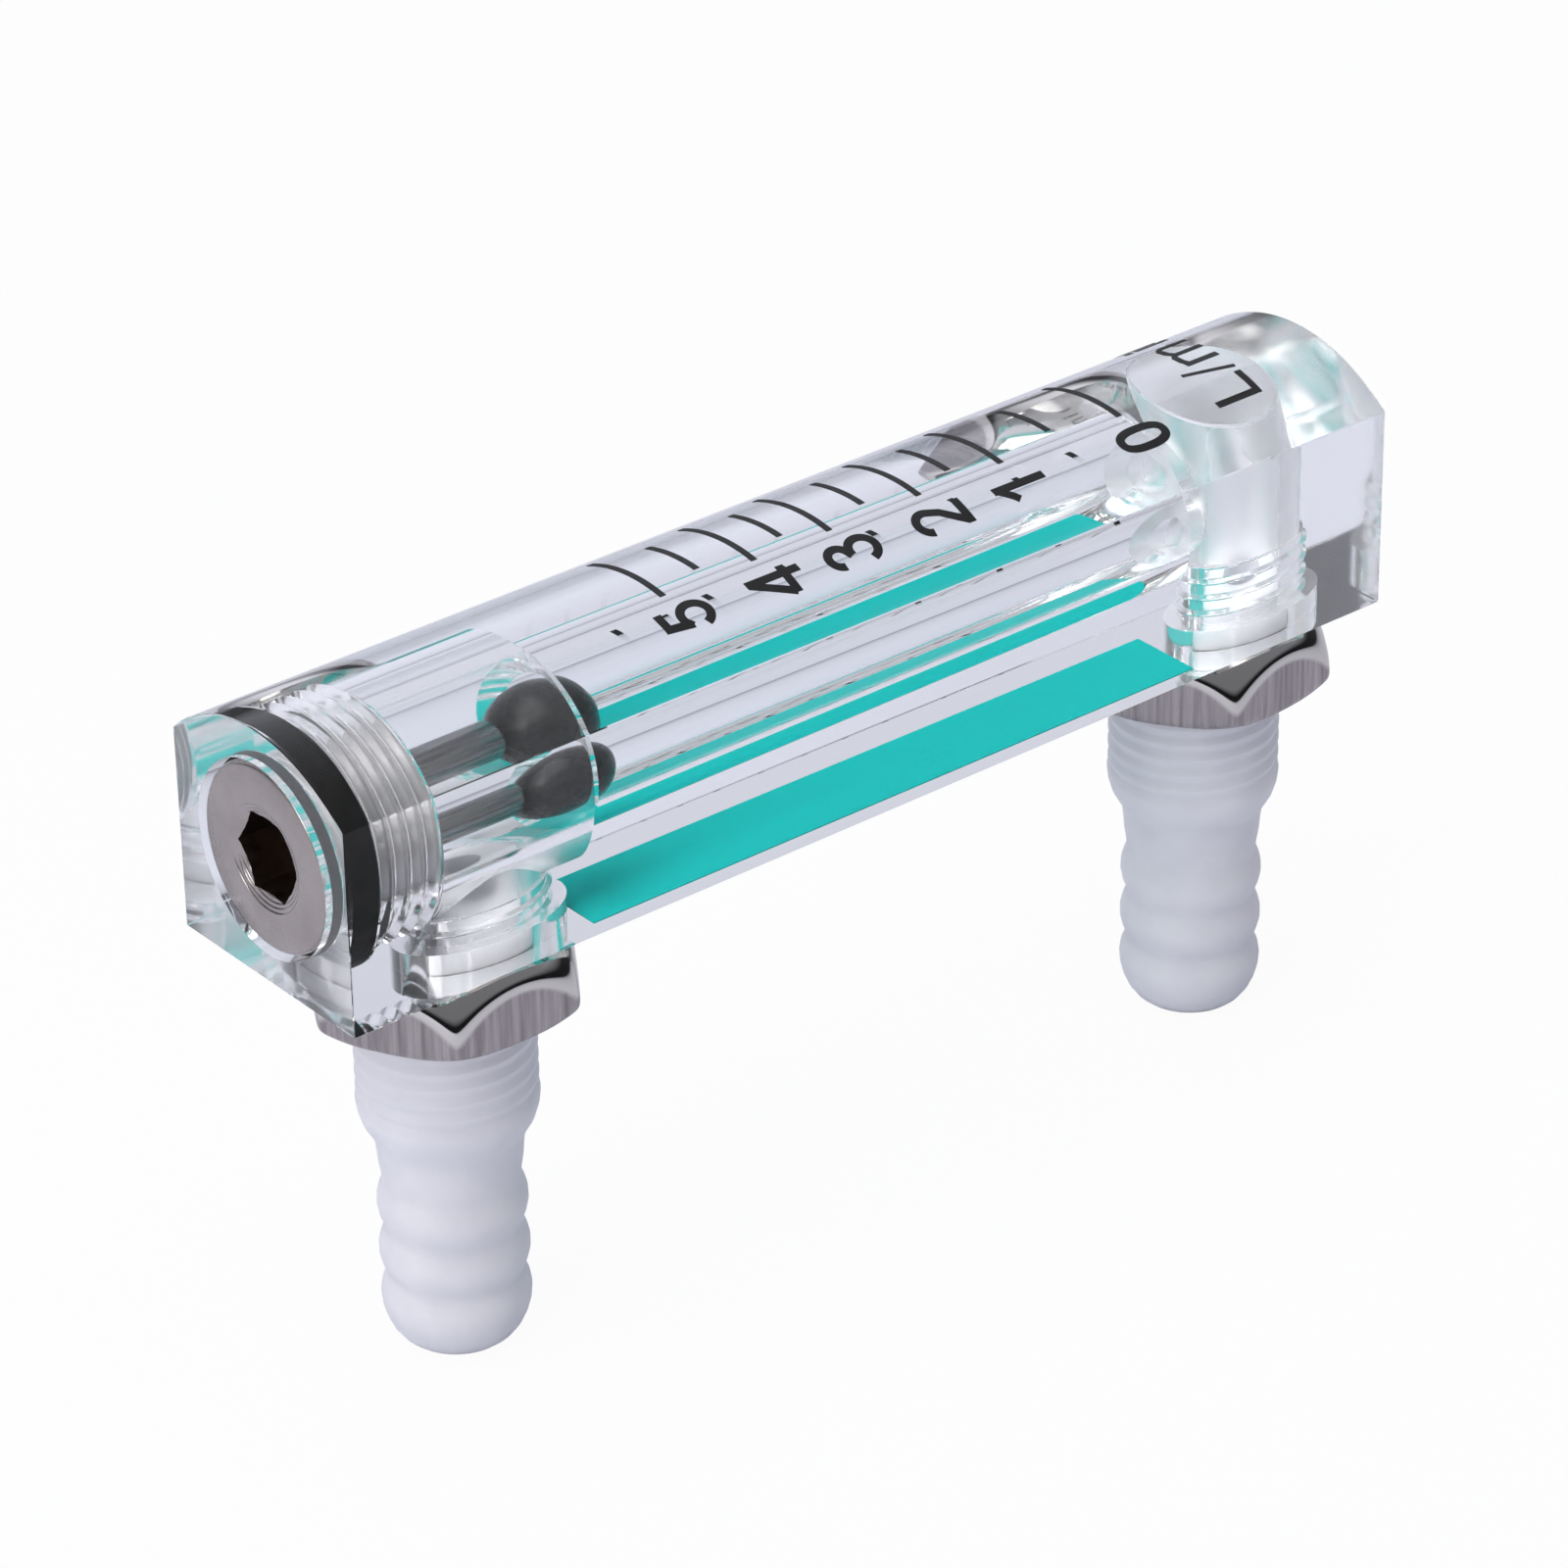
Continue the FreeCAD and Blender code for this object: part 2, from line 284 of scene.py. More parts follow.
def bevel(piece, width):
    """Breaks the piece's edges."""
    modifier = piece.modifiers.new("bevel", "BEVEL")
    modifier.width = width * MM
    modifier.segments = 1
    modifier.limit_method = "ANGLE"
    modifier.angle_limit = math.radians(30)
    modifier.miter_outer = "MITER_ARC"
    apply_modifiers(piece)


def moved(piece, x=0.0, y=0.0, z=0.0):
    """Shifts the mesh itself, in millimetres."""
    piece.data.transform(Matrix.Translation(Vector((x, y, z)) * MM))
    return piece


def prism(name, outline, ends):
    """A solid of one (y, z) outline between two places along X."""
    count = len(outline)
    verts = [(x, y, z) for x in ends for y, z in outline]
    faces = [list(range(count))[::-1], list(range(count, 2 * count))]
    for index in range(count):
        after = (index + 1) % count
        faces.append([index, after, count + after, count + index])
    return clean(new_object(name, verts, faces))


def place(along, radius, angle, about_x):
    """A point round the main bore's axis, or round the upright axis, at a radius and an angle."""
    if about_x:
        return (along, radius * math.sin(angle), BORE_Z + radius * math.cos(angle))
    return (radius * math.cos(angle), radius * math.sin(angle), along)


def lathe(name, profile, about_x, steps=144):
    """A turned solid from (along, radius) points; a radius of 0 closes it at the axis."""
    verts = []
    rings = []
    for along, radius in profile:
        if radius == 0:
            rings.append([len(verts)] * steps)
            verts.append(place(along, 0, 0, about_x))
            continue
        rings.append(list(range(len(verts), len(verts) + steps)))
        for step in range(steps):
            verts.append(place(along, radius, 2 * math.pi * step / steps, about_x))
    faces = []
    hollow = profile[0][1] != 0
    for index in range(len(rings) if hollow else len(rings) - 1):
        low = rings[index]
        high = rings[(index + 1) % len(rings)]
        for step in range(steps):
            after = (step + 1) % steps
            face = []
            for corner in (low[step], low[after], high[after], high[step]):
                if corner not in face:
                    face.append(corner)
            if len(face) > 2:
                faces.append(face)
    return clean(new_object(name, verts, faces))


def drum(name, start, end, radius, about_x):
    """A plain cylinder between two places along its axis."""
    return lathe(name, [(start, 0), (start, radius), (end, radius), (end, 0)], about_x)


def thread_form(valley_r, ridge_r, foot, crown=0.46, foot_rise=0.0):
    """Corners of one pitch of a thread, (phase, radius), with its ridge in the middle."""
    foot_r = valley_r + foot_rise
    return [(0.0, valley_r), (foot, foot_r), (crown, ridge_r), (1.0 - crown, ridge_r), (1.0 - foot, foot_r),
            (1.0, valley_r)]


def thread_radius(turns, form):
    """Radius of a thread at a phase in turns."""
    phase = turns % 1.0
    for (low, low_r), (high, high_r) in zip(form, form[1:]):
        if low <= phase <= high:
            return low_r + (high_r - low_r) * (phase - low) / (high - low)
    return form[-1][1]


def screw(name, start, end, form, about_x, steps=96):
    """A threaded bar between two places along its axis, with grid lines along the helix."""
    phases = [phase for phase, radius in form[:-1]]
    rows = len(phases)
    turns = int(math.ceil((end - start) / THREAD_PITCH)) + 2
    verts = []
    columns = []
    for step in range(steps):
        column = []
        for row in range(turns * rows + rows):
            turn, index = divmod(row, rows)
            raw = start + THREAD_PITCH * (turn - 1 + phases[index] + step / steps)
            along = min(max(raw, start), end)
            phase = (along - start) / THREAD_PITCH - step / steps
            column.append(len(verts))
            verts.append(place(along, thread_radius(phase, form), 2 * math.pi * step / steps, about_x))
        columns.append(column)
    faces = []
    for step in range(steps):
        column = columns[step]
        after = columns[(step + 1) % steps]
        jump = rows if step == steps - 1 else 0
        for row in range(turns * rows - 1):
            faces.append((column[row], column[row + 1], after[row + 1 + jump], after[row + jump]))
    return clean(new_object(name, verts, faces), distance=1e-4, close=True)


def rounded_square(angle, power):
    """A point on a square with rounded corners; a power of 2 is a circle."""
    across, up = math.cos(angle), math.sin(angle)
    size = (abs(across) ** power + abs(up) ** power) ** (-1 / power)
    return size * across, size * up


def finish_piece(piece, body, slot, materials, *nodes):
    """Gives a piece its materials and body, and hides the CAD nodes it stands for; the slot is not used."""
    piece.data.materials.clear()
    for material in materials:
        piece.data.materials.append(material)
    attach(piece, body)
    if nodes:
        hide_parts(*nodes)


def spread_materials(piece, choose):
    """Gives each face the material that a function picks by its middle, in millimetres, and its normal."""
    materials = list(piece.data.materials)
    for polygon in piece.data.polygons:
        polygon.material_index = materials.index(choose(polygon.center / MM, polygon.normal))


# Materials

NOISE_LOW = 0.3
NOISE_HIGH = 0.7


class Graph:
    """Short calls for a node tree."""

    def __init__(self, tree, space):
        self.tree = tree
        self.place = tree.nodes.new("ShaderNodeTexCoord").outputs[space]

    def add(self, kind, **values):
        """A node with its properties and its named inputs set."""
        node = self.tree.nodes.new(kind)
        for key, value in values.items():
            if hasattr(node, key):
                setattr(node, key, value)
            else:
                node.inputs[key.replace("_", " ")].default_value = value
        return node

    def fill(self, node, inputs):
        """Links or sets a node's inputs, by name or number."""
        for key, value in inputs.items():
            if isinstance(value, bpy.types.NodeSocket):
                self.tree.links.new(value, node.inputs[key])
            else:
                node.inputs[key].default_value = value
        return node

    def math(self, operation, *values, clamp=False):
        """A sum on numbers."""
        node = self.add("ShaderNodeMath", operation=operation, use_clamp=clamp)
        return self.fill(node, dict(enumerate(values))).outputs[0]

    def vector_math(self, operation, inputs, output="Vector"):
        """A sum on vectors."""
        node = self.add("ShaderNodeVectorMath", operation=operation)
        return self.fill(node, inputs).outputs[output]

    def mix(self, share, low, high, colour=False):
        """Two numbers or two colours mixed by a share."""
        node = self.add("ShaderNodeMix", data_type="RGBA" if colour else "FLOAT")
        first = 6 if colour else 2
        return self.fill(node, {0: share, first: low, first + 1: high}).outputs[2 if colour else 0]

    def upward(self, source):
        """The Z of a vector."""
        return self.fill(self.add("ShaderNodeSeparateXYZ"), {"Vector": source}).outputs["Z"]

    def toward(self, direction):
        """How far the place lies towards a direction."""
        return self.vector_math("DOT_PRODUCT", {0: self.place, 1: direction}, "Value")

    def mapped(self, **values):
        """The place, moved and scaled."""
        return self.fill(self.add("ShaderNodeMapping", **values), {"Vector": self.place}).outputs["Vector"]

    def noise(self, scale, detail=3.0, stretch=None):
        """Noise over the place, or over the place with a scale on each axis."""
        node = self.add("ShaderNodeTexNoise", Scale=scale, Detail=detail)
        where = self.mapped(Scale=stretch) if stretch else self.place
        return self.fill(node, {"Vector": where}).outputs["Fac"]

    def spread(self, source, low, high, from_low=NOISE_LOW, from_high=NOISE_HIGH):
        """A number, a noise where nothing else is said, spread over another range."""
        node = self.add("ShaderNodeMapRange", From_Min=from_low, From_Max=from_high, To_Min=low, To_Max=high)
        return self.fill(node, {"Value": source}).outputs["Result"]

    def stops(self, source, stops):
        """A colour by a number, from (number, colour) stops."""
        node = self.add("ShaderNodeValToRGB")
        elements = node.color_ramp.elements
        while len(elements) < len(stops):
            elements.new(0.5)
        for element, (position, colour) in zip(elements, stops):
            element.position = position
            element.color = (*colour, 1)
        return self.fill(node, {"Fac": source}).outputs["Color"]

    def mottle(self, source, low, high):
        """A colour between two by a noise."""
        return self.stops(source, ((NOISE_LOW, low), (NOISE_HIGH, high)))


class Surface(Graph):
    """Short calls for one material."""

    def __init__(self, name):
        self.material = bpy.data.materials.new(name)
        self.material.use_nodes = True
        super().__init__(self.material.node_tree, "Object")
        self.shader = self.tree.nodes["Principled BSDF"]

    def set(self, **values):
        """Links or sets the shader's inputs."""
        self.fill(self.shader, {key.replace("_", " "): value for key, value in values.items()})

    def bump(self, source, depth):
        """A bump of a depth in millimetres."""
        node = self.fill(self.add("ShaderNodeBump", Distance=depth * MM), {"Height": source})
        self.set(Normal=node.outputs["Normal"])

    def turning(self, spacing):
        """A wave by the distance from the main bore's axis, for turning marks."""
        across = self.mapped(Location=(0, 0, -BORE_Z * MM), Scale=(0, 1, 1))
        distance = self.vector_math("LENGTH", {0: across}, "Value")
        return self.math("SINE", self.math("MULTIPLY", distance, 2 * math.pi / (spacing * MM)))

    def overlay(self, share, kind, output):
        """Shows another kind of shader by a share."""
        own = self.shader.outputs["BSDF"]
        other = self.add(kind).outputs[output]
        mix = self.fill(self.add("ShaderNodeMixShader"), {"Fac": share, 1: own, 2: other})
        self.fill(self.tree.nodes["Material Output"], {"Surface": mix.outputs["Shader"]})


def acrylic(name, rough, clear=1.0, wave=0.0, glint=1.0):
    """Clear acrylic that lets the lamps' light through to the pieces inside."""
    n = Surface(name)
    n.set(Base_Color=(0.985, 0.99, 0.998, 1), Specular_Tint=(glint, glint, glint, 1))
    n.set(Transmission_Weight=clear, IOR=1.49, Roughness=n.spread(n.noise(900, 4.0), *rough))
    if wave:
        n.bump(n.noise(260, 2.0), wave)
    n.overlay(n.add("ShaderNodeLightPath").outputs["Is Shadow Ray"], "ShaderNodeBsdfTransparent", "BSDF")
    return n.material


def nickel(name, low, high, rough, turned=0.0, grain=None):
    """Metal between two colours, with turning marks or with a grain stretched along an axis."""
    n = Surface(name)
    patches = n.noise(2600, 4.0, grain) if grain else n.noise(400, 4.0)
    n.set(Base_Color=n.mottle(patches, low, high), Metallic=1.0)
    n.set(Roughness=n.spread(n.noise(1500, 3.0, grain), *rough))
    if turned:
        n.bump(n.turning(turned), 0.004)
    if grain:
        n.bump(n.noise(1500, 3.0, grain), 0.006)
    return n.material


def nut_metal():
    """Nickel plate, polished on the rounded shoulders and finely brushed on the upright flats; faces that
    look upwards also get a lighter colour and the flats a darker one, painted light and shade.
    """
    n = Surface("plated_nut")
    upright = (1, 1, 0.04)
    facing_up = n.upward(n.add("ShaderNodeNewGeometry").outputs["Normal"])
    # Upward-facing faces: a smoother polish, and a lighter colour that is painted light
    polish_and_painted_light = n.spread(facing_up, 0.0, 1.0, 0.05, 0.11)
    brushed = n.mottle(n.noise(3200, 4.0, upright), (0.25, 0.225, 0.23), (0.45, 0.41, 0.415))
    brushed_rough = n.spread(n.noise(1500, 3.0, upright), 0.22, 0.34)
    n.set(Base_Color=n.mix(polish_and_painted_light, brushed, (0.63, 0.61, 0.58, 1), colour=True), Metallic=1.0)
    n.set(Roughness=n.mix(polish_and_painted_light, brushed_rough, 0.07))
    return n.material


def nylon():
    """Milky nylon that light soaks into."""
    n = Surface("white_nylon")
    n.set(Base_Color=n.mottle(n.noise(350), (0.80, 0.80, 0.85), (0.86, 0.86, 0.90)))
    n.set(Roughness=n.spread(n.noise(1200), 0.32, 0.45))
    n.set(Subsurface_Weight=0.6, Subsurface_Scale=0.002, Subsurface_Radius=(1.0, 1.0, 1.0))
    n.bump(n.noise(1500), 0.01)
    return n.material


def coating(name, low, high, rough, shine, patches=1500, detail=3.0, grain=2500):
    """Paint, ink, rubber or polish with a faint mottle."""
    n = Surface(name)
    n.set(Base_Color=n.mottle(n.noise(patches, detail), low, high), Specular_IOR_Level=shine)
    n.set(Roughness=n.spread(n.noise(grain), *rough))
    return n.material


CLEAR = acrylic("clear_acrylic", rough=(0.0, 0.03), wave=0.002, glint=0.12)
END_CUT = acrylic("clear_end_cut", rough=(0.07, 0.13), clear=0.96)
CHAMBER = acrylic("clear_chamber", rough=(0.05, 0.08), clear=0.98, glint=0.25)
THREADED = acrylic("clear_threaded", rough=(0.06, 0.10), clear=0.84)
DRILLED = acrylic("clear_drilled", rough=(0.34, 0.5), clear=0.93)
PLUG_FACE = nickel("plated_plug", (0.36, 0.325, 0.31), (0.43, 0.39, 0.375), rough=(0.2, 0.3), turned=0.16)
PLUG_SHANK = nickel("plated_plug_shank", (0.3, 0.29, 0.3), (0.38, 0.37, 0.38), rough=(0.4, 0.5))
# Dark metal for the inside of the hexagon socket: painted shade in the recess
PLUG_SHADED_SOCKET = nickel("plated_plug_socket_painted_shade", (0.10, 0.072, 0.06), (0.17, 0.13, 0.11), rough=(0.25, 0.4))
# Near-black metal for the side of the plug's head: painted shade and painted dark reflection between the
# head and the ring
PLUG_SHADED_RIM = nickel("plated_plug_rim_painted_shade", (0.035, 0.024, 0.02), (0.06, 0.042, 0.035), rough=(0.3, 0.45))
NUT_METAL = nut_metal()
ROD_METAL = nickel("steel_rod", (0.09, 0.09, 0.095), (0.34, 0.34, 0.34), rough=(0.2, 0.32),
                   grain=(0.05, 1, 1))
NYLON = nylon()
RUBBER = coating("black_rubber", (0.006, 0.006, 0.006), (0.012, 0.012, 0.012), rough=(0.35, 0.55),
                 shine=0.12, patches=900)
BALL = coating("black_ball", (0.008, 0.008, 0.009), (0.014, 0.014, 0.015), rough=(0.22, 0.32), shine=0.3,
               patches=500, grain=1200)
TEAL = coating("teal_band", (0.0065, 0.42, 0.395), (0.0075, 0.445, 0.42), rough=(0.5, 0.6), shine=0.0,
               detail=4.0)
INK = coating("black_print", (0.006, 0.006, 0.006), (0.012, 0.012, 0.012), rough=(0.4, 0.5), shine=0.2,
              detail=4.0)


# Clear block

def block_outline():
    """The D section's corners, (y, z), counted round from the back's -Y corner."""
    half_angle = math.asin(HALF_WIDTH / ARCH_R)
    run_out_angle = math.asin(RUN_OUT_Y / ARCH_R)
    points = [(-HALF_WIDTH, 0), (HALF_WIDTH, 0)]
    for step in range(ARCH_STEPS + 1):
        angle = half_angle - (half_angle + run_out_angle) * step / ARCH_STEPS
        points.append((ARCH_R * math.sin(angle), ARCH_Z + ARCH_R * math.cos(angle)))
    y, z = points[-1]
    width = (HALF_WIDTH - RUN_OUT_Y) / RUN_OUT_STEPS
    for step in range(RUN_OUT_STEPS):
        share = (step + 0.5) / RUN_OUT_STEPS
        y -= width
        z -= width * math.tan(run_out_angle + math.radians(RUN_OUT_TURN) * max(0.0, share - 0.5) * 2)
        points.append((y, z))
    return points


def main_bore():
    """Cutter for the chamber, the tapered tube and the port."""
    tube_end_r = TUBE_WIDE_R - TUBE_TAPER * (TUBE_END_X - STEP_X)
    cone_end = TUBE_END_X + TUBE_END_CONE
    start = PLUG_INNER_X - INTO
    profile = [(start, 0), (start, CHAMBER_R), (STEP_X, CHAMBER_R), (STEP_X + STEP_LENGTH, TUBE_WIDE_R)]
    profile += [(TUBE_END_X, tube_end_r), (cone_end, PORT_R + PORT_EDGE), (cone_end + PORT_EDGE, PORT_R)]
    profile += [(INLET_X, PORT_R), (INLET_X, 0)]
    return lathe("bore", profile, True)


def stem_hole(x, tap_top, drill_top):
    """Cutters for one stem's counterbore, thread and drilled hole."""
    drill = [(COUNTERBORE_TOP, 0), (COUNTERBORE_TOP, DRILL_R), (drill_top - DRILL_EDGE, DRILL_R),
             (drill_top, DRILL_R - DRILL_EDGE), (drill_top, 0)]
    tap_form = thread_form(TAP_CREST_R, TAP_ROOT_R, foot=0.28)
    yield moved(drum("counterbore", -PAST, COUNTERBORE_TOP, COUNTERBORE_R, False), x)
    yield moved(screw("tap", TAP_START, tap_top, tap_form, False), x)
    yield moved(lathe("drill", drill, False), x)


def make_block():
    """The clear bar with its bores and their threads cut."""
    bar = prism("clear_block", block_outline(), BLOCK_X)
    bevel(bar, BLOCK_EDGE)
    boolean(bar, drum("seat", BLOCK_X[0] - PAST, RING_SEAT_END_X, RING_SEAT_R, True), "DIFFERENCE")
    bore_form = thread_form(BORE_CREST_R, BORE_ROOT_R, foot=0.06)
    boolean(bar, screw("thread", THREAD_START_X, PLUG_INNER_X + INTO, bore_form, True), "DIFFERENCE")
    boolean(bar, main_bore(), "DIFFERENCE")
    for hole in STEM_HOLES:
        for cutter in stem_hole(*hole):
            boolean(bar, cutter, "DIFFERENCE")
    clean(bar, distance=5e-4)
    shade(bar, sharp_deg=12.0)
    materials = [CLEAR, END_CUT, CHAMBER, THREADED, DRILLED]
    finish_piece(bar, "meter_body", "clear_acrylic", materials, "body_block")
    spread_materials(bar, block_surface)


def block_surface(centre, normal):
    """The material of one of the block's faces, by the cut it belongs to."""
    from_bore = math.hypot(centre.y, centre.z - BORE_Z)
    for x, tap_top, drill_top in STEM_HOLES:
        aside = math.hypot(centre.x - x, centre.y)
        in_hole = NEAR < centre.z < drill_top + NEAR and aside < COUNTERBORE_R + NEAR
        in_port = x == INLET_X and centre.x <= x and from_bore <= PORT_R + NEAR
        if in_hole and not in_port:
            return THREADED if centre.z < tap_top + NEAR else DRILLED
    if RING_SEAT_END_X - NEAR < centre.x < PLUG_INNER_X - NEAR and from_bore < RING_SEAT_R + NEAR:
        return THREADED
    if PLUG_INNER_X - NEAR < centre.x < STEP_X + NEAR and from_bore < CHAMBER_R + NEAR:
        return CHAMBER
    if TUBE_END_X + NEAR < centre.x < INLET_X and from_bore < TUBE_WIDE_R + NEAR:
        return DRILLED
    return END_CUT if abs(normal.x) > 0.9 else CLEAR


make_block()


# Plug, ring, rod and ball

def socket_cutter():
    """Cutter for the plug's hexagon socket."""
    outline = []
    for side in range(6):
        angle = math.radians(60 * side + SOCKET_TURN)
        outline.append((SOCKET_CORNER_R * math.sin(angle), BORE_Z + SOCKET_CORNER_R * math.cos(angle)))
    return prism("socket", outline, (PLUG_FACE_X - PAST, PLUG_FACE_X + SOCKET_DEPTH))


def countersink_cutter():
    """Cutter for the socket's countersink, turned in small steps."""
    groove_depth, groove_width = COUNTERSINK_GROOVE
    profile = [(PLUG_FACE_X - PAST, 0), (PLUG_FACE_X - PAST, COUNTERSINK_R)]
    for step in range(COUNTERSINK_STEPS):
        x = PLUG_FACE_X + COUNTERSINK_DEPTH * step / COUNTERSINK_STEPS
        radius = COUNTERSINK_R + (SOCKET_AF / 2 - COUNTERSINK_R) * step / COUNTERSINK_STEPS
        profile += [(x, radius), (x + groove_depth, radius - groove_width)]
    end = PLUG_FACE_X + COUNTERSINK_DEPTH
    profile += [(end, COUNTERSINK_END_R), (end, 0)]
    return lathe("sink", profile, True)


def threaded_shank():
    """The plug's thread with both its ends chamfered."""
    form = thread_form(PLUG_ROOT_R, PLUG_CREST_R, foot=0.31)
    shank = screw("shank", THREAD_START_X, PLUG_INNER_X, form, True)
    keep = [(RING_SEAT_END_X, 0), (RING_SEAT_END_X, PLUG_THREAD_END_R),
            (RING_SEAT_END_X + PLUG_THREAD_EDGE, PLUG_THREAD_CLEAR_R),
            (PLUG_INNER_X - PLUG_THREAD_EDGE, PLUG_THREAD_CLEAR_R),
            (PLUG_INNER_X, PLUG_THREAD_END_R), (PLUG_INNER_X, 0)]
    boolean(shank, lathe("keep", keep, True), "INTERSECT")
    return shank


def make_plug():
    """Turned and threaded screw plug with a hexagon socket."""
    profile = [(PLUG_FACE_X, 0)]
    profile += [(PLUG_FACE_X + back, PLUG_HEAD_R - down) for back, down in PLUG_ROUND_POINTS]
    profile += [(PLUG_HEAD_END_X - PLUG_HEAD_EDGE, PLUG_HEAD_R),
                (PLUG_HEAD_END_X, PLUG_HEAD_R - PLUG_HEAD_EDGE)]
    profile += [(PLUG_HEAD_END_X, PLUG_NECK_R), (PLUG_NECK_END_X, PLUG_NECK_R), (PLUG_NECK_END_X, 0)]
    plug = lathe("screw_plug", profile, True)
    boolean(plug, threaded_shank(), "UNION")
    boolean(plug, socket_cutter(), "DIFFERENCE")
    boolean(plug, countersink_cutter(), "DIFFERENCE")
    boolean(plug, drum("hole", ROD_START_X, PLUG_INNER_X + PAST, ROD_R, True), "DIFFERENCE")
    clean(plug)
    shade(plug, sharp_deg=24.0)
    materials = [PLUG_FACE, PLUG_SHANK, PLUG_SHADED_SOCKET, PLUG_SHADED_RIM]
    finish_piece(plug, "meter_body", "plated_plug", materials, "end_plug")
    spread_materials(plug, plug_surface)


def plug_surface(centre, normal):
    """The material of one of the plug's faces, by its place."""
    from_axis = math.hypot(centre.y, centre.z - BORE_Z)
    rim_start = PLUG_FACE_X + PLUG_ROUND + NEAR
    # The side of the head takes the near-black metal, painted shade
    if rim_start < centre.x < PLUG_HEAD_END_X + NEAR and from_axis > PLUG_HEAD_R - PLUG_ROUND:
        return PLUG_SHADED_RIM
    if centre.x > PLUG_HEAD_END_X + NEAR and from_axis > ROD_R:
        return PLUG_SHANK
    # Faces deep in the socket take the dark metal, painted shade
    if centre.x > PLUG_FACE_X + COUNTERSINK_DEPTH and from_axis < SOCKET_CORNER_R:
        return PLUG_SHADED_SOCKET
    return PLUG_FACE


def make_ring():
    """Rubber ring, flattened where it presses on its seat and spread forward over the plug's rim."""
    reach = RING_SECTION_R + RING_BITE
    profile = []
    for step in range(RING_STEPS):
        across, out = rounded_square(2 * math.pi * step / RING_STEPS, RING_SQUEEZE)
        forward = RING_SPREAD if across < 0 else 0.0
        profile.append((RING_X + reach * across - forward, RING_R + reach * out))
    ring = lathe("o_ring", profile, True)
    shade(ring)
    finish_piece(ring, "meter_body", "black_rubber", [RUBBER], "plug_o_ring")


def make_rod():
    """Thin rod that stops the ball, with a rounded end."""
    profile = [(ROD_START_X, 0), (ROD_START_X, ROD_R), (ROD_END_X - ROD_EDGE, ROD_R),
               (ROD_END_X - ROD_EDGE_MIDDLE, ROD_R - ROD_EDGE_MIDDLE), (ROD_END_X, ROD_R - ROD_EDGE),
               (ROD_END_X, 0)]
    rod = lathe("stop_rod", profile, True)
    shade(rod)
    finish_piece(rod, "meter_body", "steel_rod", [ROD_METAL], "float_stop_rod")


def make_ball():
    """Ball in the tapered tube."""
    profile = [(-BALL_R, 0)]
    for row in range(1, BALL_ROWS):
        angle = math.pi * row / BALL_ROWS
        profile.append((-BALL_R * math.cos(angle), BALL_R * math.sin(angle)))
    profile.append((BALL_R, 0))
    ball = moved(lathe("float_bead", profile, True, steps=2 * BALL_ROWS), BALL_X, 0, BALL_Z - BORE_Z)
    shade(ball)
    finish_piece(ball, "ball_float", "black_ball", [BALL], "float_ball")


make_plug()
make_ring()
make_rod()
make_ball()


# Stems and nuts

def make_stem(name, x, node):
    """Moulded stem with its bore, spigot, flange, thread, shoulder and ridges."""
    profile = [(SPIGOT_TOP, STEM_BORE_R), (SPIGOT_TOP, SPIGOT_R - SPIGOT_EDGE),
               (SPIGOT_TOP - SPIGOT_EDGE, SPIGOT_R)]
    profile += [(FLANGE_TOP, SPIGOT_R), (FLANGE_TOP, FLANGE_R), (0.0, FLANGE_R), (-FLANGE_EDGE, STEM_CORE_R)]
    profile += [(STEM_CORE_END, STEM_CORE_R), *SHOULDER, *NECK]
    profile += [*FIRST_RIDGE, *SECOND_RIDGE, *THIRD_RIDGE, *TIP, (STEM_END, STEM_BORE_R)]
    stem = lathe(name, profile, False)
    form = thread_form(STEM_ROOT_R, STEM_CREST_R, foot=0.12, crown=0.4, foot_rise=0.01)
    thread = screw("stem_thread", *STEM_THREAD_Z, form, False)
    boolean(thread, drum("hollow", *THREAD_HOLLOW_Z, THREAD_HOLLOW_R, False), "DIFFERENCE")
    boolean(stem, thread, "UNION")
    clean(moved(stem, x))
    shade(stem, sharp_deg=40.0)
    finish_piece(stem, "meter_body", "white_nylon", [NYLON], node)


def nut_section(flat, corner):
    """(radius, z) points of the nut from bore to bore, by its flats' nearness at one angle.

    The outside is the soft meeting of six limits: the flat at this angle, its neighbour, the domed
    shoulder towards the seat, the short cone behind, and the two ends.
    """
    top = -NUT_SEAT_GAP
    low = -NUT_THICKNESS
    middle = (top + low) / 2
    half = (top - low) / 2
    dome_tilt = math.radians(NUT_DOME_TILT)
    dome_out = NUT_SEAT_R - NUT_DOME_R * math.cos(dome_tilt)
    dome_up = half - NUT_DOME_R * math.sin(dome_tilt)
    slope = math.radians(NUT_END_SLOPE)
    cone_reach = math.sin(slope) * NUT_END_R + math.cos(slope) * half
    first_tilt = math.atan2(NUT_BORE_R + NUT_BORE_EDGE, half)
    section = [(NUT_BORE_R, top - NUT_BORE_EDGE)]
    for row in range(NUT_ROWS + 1):
        tilt = first_tilt + (math.pi - 2 * first_tilt) * row / NUT_ROWS
        out, up = math.sin(tilt), math.cos(tilt)
        toward = dome_out * out + dome_up * up
        dome = toward + math.sqrt(toward ** 2 + NUT_DOME_R ** 2 - dome_out ** 2 - dome_up ** 2)
        cone = (math.sin(slope) * out - math.cos(slope) * up) / cone_reach
        limits = (out * flat, out * corner, 1 / dome, cone, up / half, -up / half)
        reach = sum(max(limit, 0.0) ** NUT_CRISPNESS for limit in limits) ** (-1 / NUT_CRISPNESS)
        section.append((reach * out, middle + reach * up))
    section.append((NUT_BORE_R, low + NUT_BORE_EDGE))
    return section


